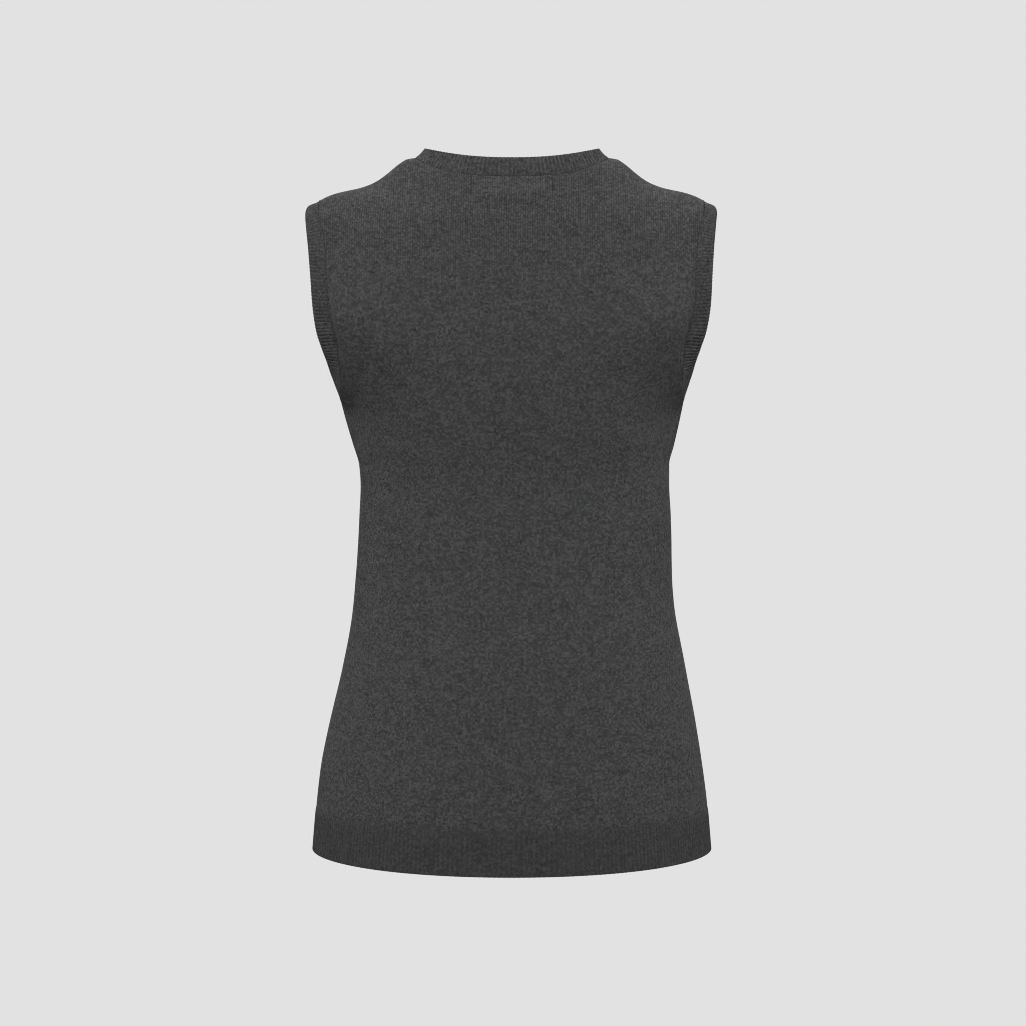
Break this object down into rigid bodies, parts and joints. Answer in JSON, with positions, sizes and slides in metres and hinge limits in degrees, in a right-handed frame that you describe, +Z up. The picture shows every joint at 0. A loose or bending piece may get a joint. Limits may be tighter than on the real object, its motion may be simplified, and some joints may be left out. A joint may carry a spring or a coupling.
{
  "type": "sleeveless knitted sweater vest",
  "caption": "Sleeveless fine-knit sweater vest with a round neck, ribbed neckband, armbands and hem, held open as it is worn.",
  "frame": {"origin": "midway between the two points where the shoulder seams meet the neckband, where the wearer's shoulders carry the garment", "axes": "+Z up the body, +Y out of the back of the garment, +X towards the armband node named left"},
  "size_m": [0.3362, 0.2329, 0.5772],
  "materials": {
    "knit": "matt charcoal heather stockinette",
    "rib": "matt charcoal heather rib"
  },
  "bodies": {
    "root": {"back_panel": "knit", "front_panel": "knit", "hem_rib_back": "rib", "hem_rib_front": "rib", "neckband": "rib", "armband_left": "rib", "armband_right": "rib"}
  },
  "joints": []
}
